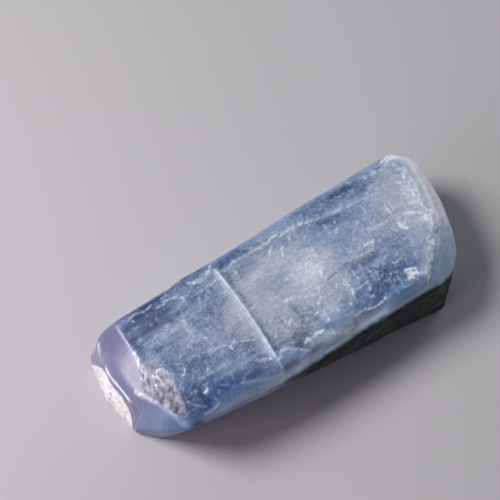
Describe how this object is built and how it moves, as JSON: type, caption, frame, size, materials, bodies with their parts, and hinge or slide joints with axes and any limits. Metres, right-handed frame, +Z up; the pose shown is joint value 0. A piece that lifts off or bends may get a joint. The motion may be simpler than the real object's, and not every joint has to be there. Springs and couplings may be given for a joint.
{
  "type": "kyanite crystal",
  "caption": "Stout blade of blue kyanite lying flat: a beveled growth end with a corroded patch, a worn rounded end, a cleavage split across its top.",
  "frame": {"origin": "on the resting plane, under the middle of the crystal's box", "axes": "+X along the crystal's long axis towards the worn rounded end, +Y towards the side whose top edge is straight, +Z up off the wide face it lies on"},
  "size_m": [0.0376, 0.0158, 0.008],
  "materials": {
    "kyanite": "translucent, vitreous on the worn faces, frosted on broken edges"
  },
  "bodies": {
    "root": {"kyanite_crystal": "kyanite"}
  },
  "joints": []
}
